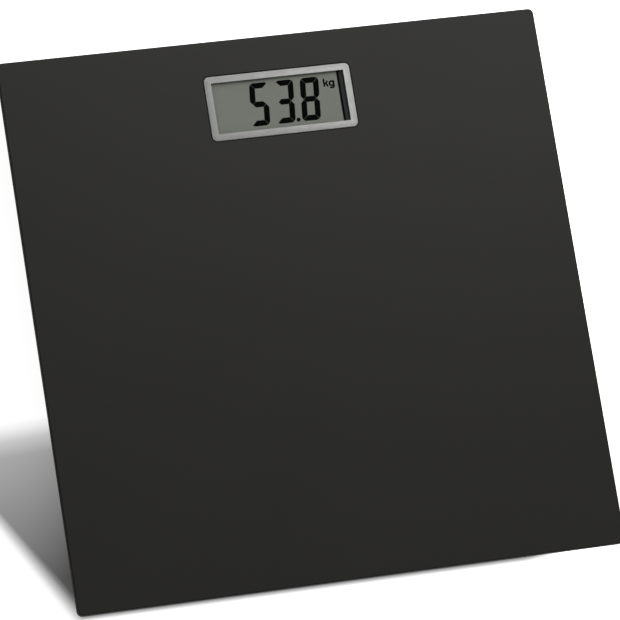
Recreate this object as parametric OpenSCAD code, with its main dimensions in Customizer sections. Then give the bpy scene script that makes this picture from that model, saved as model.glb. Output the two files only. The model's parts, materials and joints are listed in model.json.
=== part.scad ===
// Digital bathroom scale: a square glass platform on four captive feet. Each foot pushes up on a
// steel load cell in a bracket under the glass. A framed liquid-crystal display is let into the
// glass, over a shallow housing with the circuit board and a coin cell behind a hinged door.
//
// Frame: +Z is up, +Y points to the display end, and the origin is the centre of the footprint on
// the floor. Everything under the glass hangs from it, and the feet fill the rest of the height.

/* [Platform] */
// Side of the square glass platform
glass_side = 300; // [290:1:330]
// Thickness of the glass
glass_t = 6; // [5:0.5:8]
// Height of the underside of the glass above the floor
under_h = 15.7; // [15.3:0.1:19]
// Corner radius of the glass in plan
glass_r = 3; // [2:0.5:8]
// Width of the ground bevel along every edge of the glass
glass_bevel = 0.6; // [0.3:0.1:1]
// Gap between the cut-out in the glass and the bezel
cutout_gap = 0.4; // [0.2:0.1:0.8]

/* [Display] */
// Width of the bezel, along X
bezel_w = 81.3; // [79:0.1:86]
// Height of the bezel, along Y
bezel_h = 36; // [35:0.1:39]
// Width of the frame seen round the display window
bezel_frame = 3.85; // [3.4:0.05:4.4]
// Thickness of the bezel wall that passes through the glass
bezel_wall = 1.6; // [1.2:0.1:2]
// Corner radius of the bezel
bezel_r = 2.8; // [2:0.1:3.4]
// Height of the bezel above the glass
bezel_proud = 0.3; // [0.2:0.1:0.6]
// Width of the bevel round the top of the bezel
bezel_bevel = 0.3; // [0.2:0.1:0.5]
// Thickness of the lip that holds the lens down
bezel_lip = 0.8; // [0.6:0.1:1]
// Width of the flange that holds the bezel under the glass
bezel_flange = 2; // [1.5:0.1:2.4]
// Distance from the display end of the glass to the bezel
bezel_edge = 19.6; // [18:0.1:24]
// Sideways offset of the display and its housing
display_x = 1; // [-3:0.5:3]
// Thickness of the clear lens
lens_t = 0.8; // [0.6:0.1:1.2]
// Gap between the lens and the display
lens_gap = 0.2; // [0.1:0.1:0.4]
// Thickness of each of the display's two glasses
lcd_glass_t = 1.1; // [0.7:0.1:1.3]
// Thickness of the film on each face of the display
film_t = 0.2; // [0.1:0.1:0.3]
// Strip of the front glass that stands past the rear one and carries the contacts
lcd_ledge = 2.3; // [2.2:0.1:3]
// Width of the holder's bar seen at the right end of the window
bar_w = 2.3; // [2:0.1:4]
// Width of the dark slot between the display and that bar
slot_w = 1.3; // [0.8:0.1:2]

/* [Housing] */
// Width of the housing, along X
housing_w = 116; // [112:1:128]
// Length of the housing, along Y
housing_l = 72; // [70:1:80]
// Corner radius of the housing
housing_r = 6; // [4:0.5:9]
// Thickness of the housing walls
housing_wall = 1.8; // [1.4:0.1:2.2]
// Thickness of the housing floor
housing_floor = 1.6; // [1.4:0.1:2]
// Bevel round the housing's bottom edge
housing_bevel = 1; // [0.5:0.1:1.3]
// Thickness of the plate that is glued to the glass
base_t = 1.6; // [1.2:0.1:1.8]
// Thickness of the adhesive tape under the plate and the brackets
tape_t = 0.8; // [0.6:0.1:1]
// Thickness of the circuit board
board_t = 1.6; // [1:0.1:1.8]
// Radius of the housing screws
screw_r = 1.1; // [0.9:0.1:1.3]
// Length of the housing screws under the head
screw_l = 6.5; // [5:0.5:8]

/* [Battery and button] */
// Diameter of the coin cell
coin_d = 20; // [16:0.5:22]
// Thickness of the coin cell
coin_t = 3.2; // [2.5:0.1:3.2]
// Thickness of the battery door
door_t = 1.4; // [1.2:0.1:1.6]
// Gap round the battery door
door_gap = 0.3; // [0.2:0.05:0.5]
// Radius of the door's hinge pins
pin_r = 0.8; // [0.6:0.05:0.9]
// Radius of the unit button
button_r = 4.5; // [3.5:0.1:5.5]
// Travel of the unit button and its switch
button_travel = 0.3; // [0.2:0.05:0.4]

/* [Sensors and feet] */
// Distance from the edges of the glass to the axis of a foot
foot_inset = 34; // [32:0.5:42]
// Side of the square load cell
cell_side = 34; // [31:0.5:36]
// Thickness of the load cell
cell_t = 2.5; // [2:0.1:2.7]
// Width of the load cell's tongue
tongue_w = 15.6; // [13:0.1:17]
// Free play of a foot between the load cell and the bracket's lip
foot_travel = 0.8; // [0.5:0.1:1]
// Thickness of the rubber pad
pad_t = 2.2; // [1.8:0.1:2.4]
// Height that the pad stands out of the foot
pad_proud = 1; // [0.8:0.1:1.4]
// Wall thickness of the bracket
bracket_wall = 2; // [1.6:0.1:2.4]
// Wall thickness of the foot's neck
neck_wall = 1.7; // [1.4:0.1:2]

/* [Sensor leads] */
// Radius of one lead
lead_r = 0.5; // [0.4:0.05:0.55]
// Spacing of the three leads
lead_pitch = 1.3; // [1.3:0.05:1.6]
// Depth of the leads below the glass
lead_drop = 3; // [2.95:0.05:3.2]
// Radius of the bend in the leads from the heel end
lead_bend = 14; // [10:1:24]
// Distance of those leads from the middle of the scale
lead_x = 32; // [26:0.5:36]

/* [Hidden] */
$fn = 64;
eps = 0.1; // how far a cutting shape runs past the face it cuts

// Heights of the display, from its top down
glass_z1 = under_h + glass_t;
bezel_z1 = glass_z1 + bezel_proud;
lens_z1 = bezel_z1 - bezel_lip;
lens_z0 = lens_z1 - lens_t;
film_z1 = lens_z0 - lens_gap;
front_z1 = film_z1 - film_t;
front_z0 = front_z1 - lcd_glass_t;
rear_z0 = front_z0 - lcd_glass_t;
lcd_z0 = rear_z0 - film_t;

// Heights of the housing, from the glass down
tape_z0 = under_h - tape_t;
base_z0 = tape_z0 - base_t;
lead_z = under_h - lead_drop;
lead_gap = 0.1;
board_z1 = lead_z - lead_r - lead_gap;
board_z0 = board_z1 - board_t;
bay_gap = 0.3; // between the battery bay's roof and the board
bay_roof = 0.8;
bay_z1 = board_z0 - bay_gap;
bay_z0 = bay_z1 - bay_roof;
leaf_h = 0.5; // room for the spring contact on the coin cell
coin_z1 = bay_z0 - leaf_h;
coin_z0 = coin_z1 - coin_t;
coin_gap = 0.3;
floor_z0 = coin_z0 - coin_gap - door_t;
floor_z1 = floor_z0 + housing_floor;
rim_gap = 0.2;
rim_z1 = under_h - rim_gap;

// Plan of the display, about its own centre
display_y = glass_side / 2 - bezel_edge - bezel_h / 2;
window_w = bezel_w - 2 * bezel_frame;
window_h = bezel_h - 2 * bezel_frame;
cavity_w = bezel_w - 2 * bezel_wall;
cavity_h = bezel_h - 2 * bezel_wall;
fit = 0.1; // clearance of the parts stacked inside the bezel
holder_w = cavity_w - 2 * fit;
holder_h = cavity_h - 2 * fit;
holder_wall = 1;
lcd_x0 = -holder_w / 2 + holder_wall + fit;
lcd_x1 = window_w / 2 - bar_w - slot_w;
lcd_y1 = holder_h / 2 - holder_wall - fit;
lcd_y0 = -lcd_y1;
film_inset = 0.5;
zebra_w = 1.9;
zebra_end = 5; // from the ends of the display to the zebra strip
light_wall = 2; // wall between the zebra strip and the light box
shelf = 3; // shelf round the light box that the display rests on
peg_r = 0.8;
peg_gap = 0.1;
peg_in = 2.2; // from the holder's corner to a peg
peg_x = holder_w / 2 - peg_in;
peg_y = holder_h / 2 - peg_in;

// Plan of the housing, about its own centre
wall_clear = 0.3;
display_margin = 3.3; // from the bezel's flange to the inside of the housing wall
housing_y = display_y + bezel_h / 2 + bezel_flange + display_margin + housing_wall
            + wall_clear - housing_l / 2;
base_w = housing_w - 2 * (housing_wall + wall_clear);
base_l = housing_l - 2 * (housing_wall + wall_clear);
base_r = housing_r - housing_wall - wall_clear;
base_window_gap = 0.6;
tape_edge = 0.5;
boss_r = 3;
boss_in_x = 8; // from the housing's side to the axis of a boss
boss_in_y = 6;
boss_x = housing_w / 2 - boss_in_x;
boss_y = housing_l / 2 - boss_in_y;
cover_boss_r = 4;
cover_boss_h = 1.8;
head_r = 2.3;
head_h = 1.5;
head_room = 0.3;
head_depth = 2; // from the housing floor's face to the seat of the screw head
thread_gap = 0.05;
cross_l = 2.6;
cross_w = 0.6;
cross_d = 0.8;
board_gap_x = 1.5; // from a boss to the board
board_gap_y = 5; // from the end of the housing to the board
board_r = 1;
board_w = 2 * (boss_x - boss_r - board_gap_x);
board_l = housing_l - 2 * board_gap_y;
board_side = 2; // from the housing's wall to the sides of the board, between the bosses
ears_w = housing_w - 2 * (housing_wall + board_side);
ears_l = 2 * (boss_y - boss_r - board_gap_x);
post_r = 2.2;
post_in_x = 2.5; // from the side of the board to the axis of a post
post_in_y = 3;
post_x = board_w / 2 - post_in_x;
post_y = board_l / 2 - post_in_y;
board_screw_r = 0.9;
board_screw_gap = 0.2;
board_head_r = 1.9;
board_head_h = 1.3;
board_screw_in = 2.4; // length of a board screw above the board
rib_t = 1;
rib_h = 1.2;
rib_pitch = 12;

// Battery bay, about its own centre
bay_wall = 1.9;
pocket_gap = 0.4;
pocket_r = coin_d / 2 + pocket_gap;
door_side = 3.5; // from the coin cell to the side of the door
door_end = 4.5; // from the coin cell to each end of the door
door_w = coin_d + 2 * door_side;
door_y1 = coin_d / 2 + door_end;
door_over = 0.05; // between the shut door and the deck above it
bay_half_w = door_w / 2 + door_gap + bay_wall;
bay_in_x = 13.3; // from the housing's side to the wall of the bay
bay_in_y = 10.8; // from the housing's heel end to the wall of the bay
bay_x = bay_in_x + bay_half_w - housing_w / 2;
bay_y = bay_in_y + bay_wall + door_gap + door_y1 - housing_l / 2;
barrel_r = 1.4;
hinge_y = barrel_r - door_y1;
hinge_z = floor_z0 + barrel_r;
pin_gap = 0.06;
pin_l = 1.3; // length of a pin inside the bay's wall
latch_w = 8.4;
latch_t = 0.8;
latch_l = 2.8;
latch_h = 4.4;
latch_tab = 1.5;
latch_tooth = 0.4;
tooth_z1 = latch_h - 1.4; // where the tooth starts, above the door's face
tooth_z = latch_h - 2.1; // its tip
tooth_z0 = latch_h - 2.4; // its foot
latch_room = 0.4;
tooth_gap = 0.15;
catch_z = 1; // catch above the housing floor's face
catch_h = 0.9;
catch_w = 2.8;
well_l = 4.5;
well_gap = 0.9;
leaf_t = 0.3;
leaf_w = 4;
tail_gap = 0.2;
plus_out = 2;
plus_x = coin_d / 2 + plus_out; // tail of the plus contact
minus_x = -7; // tail of the minus contact
coin_touch = 0.05; // between the plus contact and the rim of the coin cell
grip_n = 4; // grooves that give the thumb a hold on the door
grip_l = 10;
grip_w = 0.8;
grip_d = 0.4;
grip_pitch = 1.6;
grip_in = 1.2; // from the latch's cut-out to the first groove
thumb_r = 4;
thumb_in = 1; // from the edge of the pocket to the centre of the thumb notch
thumb_d = 1.6; // how far up the coin cell the thumb notch reaches

// Unit button and switch, about the housing's centre
button_in_x = 28; // from the housing's side to the axis of the button
button_in_y = 18; // from the housing's heel end to the axis of the button
button_x = housing_w / 2 - button_in_x;
button_y = button_in_y - housing_l / 2;
button_gap = 0.3;
button_bevel = 0.4;
button_flange = 1.1;
button_flange_t = 0.7;
button_recess = 0.3;
button_z1 = floor_z1 + button_flange_t;
collar_gap = 0.3;
collar_r = button_r + button_flange + collar_gap;
collar_wall = 1;
collar_h = 2;
switch_side = 6;
switch_gap = 0.3; // room above the button's flange at full travel
switch_z0 = button_z1 + button_travel + switch_gap;
plunger_r = 1.75;
plunger_gap = 0.08;
plunger_in = 0.7;

// Components on the underside of the board, about the housing's centre
chip_in_x = 35.5; // from the side of the board to the middle of the chip
chip_in_y = 23;
chip_x = board_w / 2 - chip_in_x;
chip_y = board_l / 2 - chip_in_y;
chip_r = 5;
chip_h = 1.5;
chip_ball_r = (chip_r * chip_r + chip_h * chip_h) / (2 * chip_h);
resistor = [1.6, 0.8, 0.5];
resistor_at = [9, -3]; // first resistor, from the chip
resistor_pitch = [3, 5];
capacitor = [2, 1.25, 0.9];
capacitor_at = [-8, 9]; // first capacitor, from the chip
capacitor_pitch = 4.5;

// Load cell, bracket and foot, about the foot's axis; the leads leave towards -X
foot_x = glass_side / 2 - foot_inset;
cell_z1 = board_z1;
cell_z0 = cell_z1 - cell_t;
cell_r = 3;
slit_w = 1.4;
slit_root = 8; // from the cell's edge to the root of its tongue
slit_frame = 4.5; // width of the frame past the tip of the tongue
slit_x0 = slit_root - cell_side / 2;
slit_x1 = cell_side / 2 - slit_frame;
neck_hole_r = 1.8;
gauge = [7, 6, 1.1];
gauge_in = 2.5; // from the root of the tongue to the middle of the sealant
gauge_x = slit_x0 + gauge_in;
gauge_r = 1.5;
lead_x0 = gauge_x - gauge[0] / 2;
clip_gap = 0.2;
clip_t = 1.4;
clip_w = 6;
clip_bite = 1.2;
clip_h = 0.9;
stop_w = 10;
stop_gap = 3; // half of the opening in the stop that lets the leads out
stop_overlap = 1.6; // how far a stop reaches down the edge of the load cell
seat_in = 2; // width of the load cell's frame left clear at its edge
seat_w = 4;
seat_l = 28;
seat_y1 = cell_side / 2 - seat_in;
seat_y0 = seat_y1 - seat_w;
play = 0.35;
neck_in = norm([cell_side / 2 + clip_gap + clip_t, clip_w / 2]) + play;
neck_r = neck_in + neck_wall;
lip_gap = 0.4;
lip_r = neck_r + lip_gap;
lip_t = 1.2;
hook_reach = 1.2; // how far a hook reaches over the lip
hook_r = lip_r + hook_reach;
hook_t = 0.9;
hook_angle = 40;
hook_slit = 1; // width of the slit on each side of a hook
slit_foot = 0.3; // from the foot's shoulder to the bottom of a slit
break_in = 1; // degrees from the side of a hook to the break in the ring of hooks
hook_lead = 0.6; // slope on a hook's upper corner, to lead it past the lip
hook_room = 0.3;
hook_z1 = cell_z0 - hook_room;
hook_z0 = hook_z1 - hook_t;
stop_gap_z = 0.1; // left between hook and lip at full play
lip_z1 = hook_z0 - foot_travel - stop_gap_z;
bracket_z0 = lip_z1 - lip_t;
bracket_room = 2; // from a hook to the wall of the bracket
bracket_in = hook_r + bracket_room;
bracket_r = bracket_in + bracket_wall;
bracket_roof = 1.4;
bracket_flange = 1.5;
bracket_flange_t = 1.2;
bracket_bevel = 0.6;
gusset_t = 1.2;
gusset_h = 3;
gusset_in = 1; // how deep a gusset stands in the bracket's wall
foot_gap = 1; // between foot and bracket, left for the load cell's give
foot_z1 = bracket_z0 - foot_gap;
foot_brim = 1.5; // how far the foot stands out past the bracket's lip
foot_r = lip_r + foot_brim;
foot_bevel = 0.8;
web_t = 1.8;
web_z1 = pad_t + web_t;
boss_foot_r = 4.5;
foot_rib_t = 1.2;
foot_rib_h = 2.8;
pad_rim = 5.3;
pad_gap = 0.2;
pad_r = foot_r - pad_rim - pad_gap;
pad_bevel = 0.5;
groove_w = 1;
groove_d = 0.5;

// Leads and lead covers
notch_gap = 0.5;
notch_w = 2 * (lead_pitch + lead_r + notch_gap);
lead_end = 2.5; // from the edge of the board to the end of a lead
solder_r = 0.64;
solder_top_r = 0.4;
solder_gap = 0.05; // between a mound of solder and the plate above it
solder_h = base_z0 - board_z1 - solder_gap;
cover_side = 0.4; // between the outer leads and the lead cover
cover_in = lead_pitch + lead_r + cover_side;
cover_wall = 0.9;
cover_wing = 1.9;
cover_t = 0.8;
cover_bevel = 0.6;
cover_room = 0.2;
cover_gap = 0.4; // between a lead cover and what it meets
cover_z0 = lead_z - lead_r - cover_room - cover_t;
cover_x1 = foot_x - bracket_r - bracket_flange - cover_gap;
heel_x = lead_x + lead_bend; // where the bend in the heel leads begins
heel_y = lead_bend - foot_x; // where it ends

// ---- Shared shapes ----

// A box between two opposite corners
module block(low, high) {
    translate(low) cube(high - low);
}

// A rectangle with round corners, centred
module rounded_rect(w, h, r) {
    square([w - 2 * r, h], center = true);
    square([w, h - 2 * r], center = true);
    for (x = [-1, 1], y = [-1, 1])
        translate([x * (w / 2 - r), y * (h / 2 - r)]) circle(r);
}

// An upright slab with round corners between two heights
module slab(w, h, r, z0, z1) {
    translate([0, 0, z0]) linear_extrude(z1 - z0) rounded_rect(w, h, r);
}

// One side of a slab's section at half width s, from the bottom up, with bevels b0 and b1
function slab_side(s, t, b0, b1) = concat(
    b0 > 0 ? [[s - b0, 0], [s, b0]] : [[s, 0]],
    b1 > 0 ? [[s, t - b1], [s - b1, t]] : [[s, t]]);

// The whole section, right side up and left side down
function slab_section(s, t, b0, b1) =
    let (right = slab_side(s, t, b0, b1))
    concat(right, [for (i = [len(right) - 1 : -1 : 0]) [-right[i][0], right[i][1]]]);

// A slab with round corners, bevelled along its bottom edge by b0 and its top edge by b1
module bevelled_slab(w, h, t, r, b0, b1) {
    along_x(w - 2 * r) polygon(slab_section(h / 2, t, b0, b1));
    rotate([0, 0, 90]) along_x(h - 2 * r) polygon(slab_section(w / 2, t, b0, b1));
    for (x = [-1, 1], y = [-1, 1])
        translate([x * (w / 2 - r), y * (h / 2 - r), 0])
            rotate_extrude() polygon(concat([[0, 0]], slab_side(r, t, b0, b1), [[0, t]]));
}

// Extrudes a profile drawn in Y and Z along X, centred
module along_x(length) {
    rotate([90, 0, 90]) translate([0, 0, -length / 2]) linear_extrude(length) children();
}

// Extrudes a profile drawn in X and Z along Y, centred
module along_y(length) {
    rotate([90, 0, 0]) translate([0, 0, -length / 2]) linear_extrude(length) children();
}

module at_display() {
    translate([display_x, display_y, 0]) children();
}

module at_housing() {
    translate([display_x, housing_y, 0]) children();
}

module at_bay() {
    at_housing() translate([bay_x, bay_y, 0]) children();
}

module at_corners(x, y) {
    for (sx = [-1, 1], sy = [-1, 1]) translate([sx * x, sy * y, 0]) children();
}

// Stands a part drawn for the right side on the side sx
module on_side(sx) {
    mirror([sx < 0 ? 1 : 0, 0, 0]) children();
}

// Places a part at the foot on side sx (right is 1) and end sy (the display end is 1)
module at_foot(sx, sy) {
    translate([sx * foot_x, sy * foot_x, 0]) rotate([0, 0, sx < 0 ? 180 : 0]) children();
}

// ---- Platform and display ----

module glass_platform() {
    color([0.13, 0.13, 0.125]) difference() {
        translate([0, 0, under_h])
            bevelled_slab(glass_side, glass_side, glass_t, glass_r, glass_bevel, glass_bevel);
        at_display()
            slab(bezel_w + 2 * cutout_gap, bezel_h + 2 * cutout_gap, bezel_r + cutout_gap,
                 under_h - eps, glass_z1 + eps);
    }
}

// A frame that comes up through the glass, with a flange below it and a lip over the lens
module display_bezel() {
    color([0.7, 0.7, 0.7]) at_display() difference() {
        union() {
            translate([0, 0, tape_z0])
                bevelled_slab(bezel_w, bezel_h, bezel_z1 - tape_z0, bezel_r, 0, bezel_bevel);
            slab(bezel_w + 2 * bezel_flange, bezel_h + 2 * bezel_flange, bezel_r + bezel_flange,
                 tape_z0, under_h);
        }
        block([-cavity_w / 2, -cavity_h / 2, tape_z0 - eps], [cavity_w / 2, cavity_h / 2, lens_z1]);
        block([-window_w / 2, -window_h / 2, tape_z0], [window_w / 2, window_h / 2, bezel_z1 + eps]);
    }
}

module display_lens() {
    color([0.85, 0.9, 0.9, 0.3]) at_display()
        block([-holder_w / 2, -holder_h / 2, lens_z0], [holder_w / 2, holder_h / 2, lens_z1]);
}

module lcd_front_polarizer() {
    color([0.45, 0.47, 0.42]) at_display()
        block([lcd_x0 + film_inset, lcd_y0 + film_inset, front_z1],
              [lcd_x1, lcd_y1 - film_inset, film_z1]);
}

module lcd_front_glass() {
    color([0.6, 0.65, 0.6]) at_display()
        block([lcd_x0, lcd_y0, front_z0], [lcd_x1, lcd_y1, front_z1]);
}

module lcd_rear_glass() {
    color([0.55, 0.6, 0.56]) at_display()
        block([lcd_x0, lcd_y0 + lcd_ledge, rear_z0], [lcd_x1, lcd_y1, front_z0]);
}

module lcd_reflector() {
    color([0.75, 0.77, 0.74]) at_display()
        block([lcd_x0 + film_inset, lcd_y0 + lcd_ledge + film_inset, lcd_z0],
              [lcd_x1 - film_inset, lcd_y1 - film_inset, rear_z0]);
}

// The dark frame that stands on the board and holds the display up to the lens
module lcd_holder() {
    light_y0 = lcd_y0 + zebra_w + light_wall + fit;
    color([0.16, 0.16, 0.17]) at_display() {
        difference() {
            block([-holder_w / 2, -holder_h / 2, board_z1], [holder_w / 2, holder_h / 2, lens_z0]);
            // pocket for the display, and the slot beside it
            block([lcd_x0 - fit, lcd_y0 - fit, lcd_z0], [lcd_x1 + slot_w, lcd_y1 + fit, lens_z0 + eps]);
            // light box below the display
            block([lcd_x0 + shelf, light_y0, board_z1 - eps],
                  [lcd_x1 - shelf, lcd_y1 - shelf, lcd_z0 + eps]);
            // slot for the zebra strip
            block([lcd_x0 + zebra_end - fit, lcd_y0 - fit, board_z1 - eps],
                  [lcd_x1 - zebra_end + fit, lcd_y0 + zebra_w + fit, lcd_z0 + eps]);
        }
        for (s = [-1, 1])
            translate([s * peg_x, s * peg_y, board_z0]) cylinder(r = peg_r, h = board_t + eps);
    }
}

module zebra_connector() {
    color([0.85, 0.45, 0.5]) at_display()
        block([lcd_x0 + zebra_end, lcd_y0, board_z1], [lcd_x1 - zebra_end, lcd_y0 + zebra_w, front_z0]);
}

// ---- Circuit board and what is on it ----

module circuit_board() {
    color([0.1, 0.35, 0.2]) difference() {
        at_housing() translate([0, 0, board_z0]) linear_extrude(board_t) {
            rounded_rect(board_w, board_l, board_r);
            rounded_rect(ears_w, ears_l, board_r);
        }
        at_housing() at_corners(post_x, post_y)
            translate([0, 0, board_z0 - eps])
                cylinder(r = board_screw_r + board_screw_gap, h = board_t + 2 * eps);
        at_display() for (s = [-1, 1])
            translate([s * peg_x, s * peg_y, board_z0 - eps])
                cylinder(r = peg_r + peg_gap, h = board_t + 2 * eps);
        at_bay() for (x = [plus_x, minus_x]) tail_slot(x, board_z0 - eps, board_z1 + eps);
    }
}

// A slot for the tail of a battery contact at x
module tail_slot(x, z0, z1) {
    block([x - tail_gap, -leaf_w / 2 - tail_gap, z0],
          [x + leaf_t + tail_gap, leaf_w / 2 + tail_gap, z1]);
}

// A drop of black resin over the chip
module potted_chip() {
    color([0.05, 0.05, 0.05]) at_housing() translate([chip_x, chip_y, 0]) intersection() {
        translate([0, 0, board_z0 - chip_h + chip_ball_r]) sphere(chip_ball_r, $fn = 160);
        translate([0, 0, board_z0 - chip_h]) cylinder(r = chip_r + 1, h = chip_h);
    }
}

module chip_resistors() {
    color([0.1, 0.1, 0.1]) at_housing()
        for (i = [0:4], j = [0:1])
            translate([chip_x + resistor_at[0] + i * resistor_pitch[0],
                       chip_y + resistor_at[1] + j * resistor_pitch[1],
                       board_z0 - resistor[2]])
                cube(resistor);
}

module chip_capacitors() {
    color([0.72, 0.6, 0.42]) at_housing()
        for (i = [0:3])
            translate([chip_x + capacitor_at[0] + i * capacitor_pitch, chip_y + capacitor_at[1],
                       board_z0 - capacitor[2]])
                cube(capacitor);
}

// A mound of solder, drilled for the lead that comes in along +X
module solder_mound() {
    difference() {
        translate([0, 0, board_z1]) cylinder(r1 = solder_r, r2 = solder_top_r, h = solder_h);
        translate([0, 0, lead_z]) rotate([0, 90, 0]) cylinder(r = lead_r, h = 2 * solder_r);
    }
}

module solder_joints() {
    color([0.75, 0.76, 0.78]) for (sx = [-1, 1], k = [-1, 0, 1]) on_side(sx) {
        translate([front_lead_end(sx), foot_x + k * lead_pitch, 0]) solder_mound();
        translate([lead_x + k * lead_pitch, heel_lead_end, 0]) rotate([0, 0, -90]) solder_mound();
    }
}

// A push switch on the underside of the board
module unit_switch() {
    color([0.12, 0.12, 0.13]) at_housing() translate([button_x, button_y, 0]) difference() {
        translate([-switch_side / 2, -switch_side / 2, switch_z0])
            cube([switch_side, switch_side, board_z0 - switch_z0]);
        translate([0, 0, switch_z0 - eps])
            cylinder(r = plunger_r + plunger_gap,
                     h = plunger_in + button_travel + 2 * eps);
    }
}

module switch_plunger() {
    color([0.85, 0.84, 0.8]) at_housing() translate([button_x, button_y, button_z1])
        cylinder(r = plunger_r, h = switch_z0 + plunger_in - button_z1);
}

// A key with a slightly bevelled face and a flange that keeps it inside the housing
module unit_button() {
    face_z = floor_z0 + button_recess;
    color([0.3, 0.3, 0.31]) at_housing() translate([button_x, button_y, 0])
        rotate_extrude() polygon([
            [0, face_z], [button_r - button_bevel, face_z], [button_r, face_z + button_bevel],
            [button_r, floor_z1], [button_r + button_flange, floor_z1],
            [button_r + button_flange, button_z1], [0, button_z1]]);
}

// ---- Battery ----

// Bent strip: a tail through the board, a V that presses on the rim of the coin cell
module battery_contact_plus() {
    rim_x = coin_d / 2 + coin_touch;
    low_z = coin_z0 + 0.5;
    mid_z = (coin_z0 + coin_z1) / 2;
    fold_x = plus_x - 0.6;
    tip_x = rim_x + 0.5;
    color([0.75, 0.74, 0.7]) at_bay() along_y(leaf_w) polygon([
        [plus_x, board_z1], [plus_x + leaf_t, board_z1], [plus_x + leaf_t, low_z],
        [fold_x, low_z], [rim_x, mid_z], [tip_x, coin_z1],
        [tip_x + leaf_t, coin_z1], [rim_x + leaf_t, mid_z],
        [fold_x + leaf_t / 3, low_z + leaf_t], [plus_x, low_z + leaf_t]]);
}

// Bent strip: a tail through the board, a leaf that presses on the middle of the coin cell
module battery_contact_minus() {
    bend_x = -1;
    touch_x0 = 2;
    touch_x1 = 3;
    free_x = 5;
    color([0.75, 0.74, 0.7]) at_bay() along_y(leaf_w) polygon([
        [minus_x, board_z1], [minus_x, bay_z0 - leaf_t], [bend_x, bay_z0 - leaf_t],
        [touch_x0, coin_z1], [touch_x1, coin_z1], [free_x, bay_z0 - leaf_t],
        [free_x, bay_z0], [touch_x1, coin_z1 + leaf_t], [touch_x0, coin_z1 + leaf_t],
        [bend_x, bay_z0], [minus_x + leaf_t, bay_z0], [minus_x + leaf_t, board_z1]]);
}

// A can with a rolled edge, and a smaller cap on its upper face
module coin_cell() {
    edge = 0.4;
    cap_in = 1.3;
    cap_h = 0.3;
    r = coin_d / 2;
    color([0.78, 0.78, 0.77]) at_bay() rotate_extrude() polygon([
        [0, coin_z0], [r - edge, coin_z0], [r, coin_z0 + edge], [r, coin_z1 - cap_h],
        [r - cap_in, coin_z1 - cap_h], [r - cap_in - edge, coin_z1], [0, coin_z1]]);
}

// A plate with hinge pins at the heel end, and grip grooves and a sprung latch at the display end
module battery_door() {
    z = floor_z0;
    color([0.14, 0.14, 0.145]) at_bay() {
        difference() {
            along_x(door_w) {
                translate([hinge_y, hinge_z]) circle(barrel_r);
                translate([hinge_y, z]) square([door_y1 - hinge_y, door_t]);
            }
            block([-latch_w / 2 - latch_room, door_y1 - latch_l + latch_t, z - eps],
                  [latch_w / 2 + latch_room, door_y1 + eps, z + door_t + eps]);
            for (i = [0:grip_n - 1])
                translate([0, door_y1 - latch_l + latch_t - grip_in - i * grip_pitch, z])
                    block([-grip_l / 2, -grip_w, -eps], [grip_l / 2, 0, grip_d]);
        }
        along_x(door_w + 2 * (door_gap + pin_l)) translate([hinge_y, hinge_z]) circle(pin_r);
        along_x(latch_w) translate([door_y1, z]) polygon([
            [-latch_l, door_t / 2], [-latch_l, latch_h], [0, latch_h], [0, tooth_z1],
            [latch_tooth, tooth_z], [0, tooth_z0], [0, latch_t],
            [latch_tab, latch_t], [latch_tab, 0], [-latch_t, 0], [-latch_t, latch_h - latch_t],
            [latch_t - latch_l, latch_h - latch_t], [latch_t - latch_l, door_t / 2]]);
    }
}

// ---- Housing ----

// The plate that is glued to the glass, with screw bosses and posts for the board
module housing_base() {
    boss_z0 = floor_z1 + cover_boss_h;
    color([0.12, 0.12, 0.125]) difference() {
        union() {
            at_housing() slab(base_w, base_l, base_r, base_z0, tape_z0);
            at_housing() at_corners(boss_x, boss_y)
                translate([0, 0, boss_z0]) cylinder(r = boss_r, h = base_z0 - boss_z0 + eps);
            at_housing() at_corners(post_x, post_y)
                translate([0, 0, board_z1]) cylinder(r = post_r, h = base_z0 - board_z1 + eps);
        }
        at_display()
            block([-holder_w / 2 - base_window_gap, -holder_h / 2 - base_window_gap, base_z0 - eps],
                  [holder_w / 2 + base_window_gap, holder_h / 2 + base_window_gap, tape_z0 + eps]);
        at_housing() at_corners(boss_x, boss_y)
            translate([0, 0, boss_z0 - eps])
                cylinder(r = screw_r + thread_gap, h = base_z0 - boss_z0 + 2 * eps);
        at_housing() at_corners(post_x, post_y)
            translate([0, 0, board_z1 - eps])
                cylinder(r = board_screw_r + thread_gap, h = board_screw_in + 2 * eps);
    }
}

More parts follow.
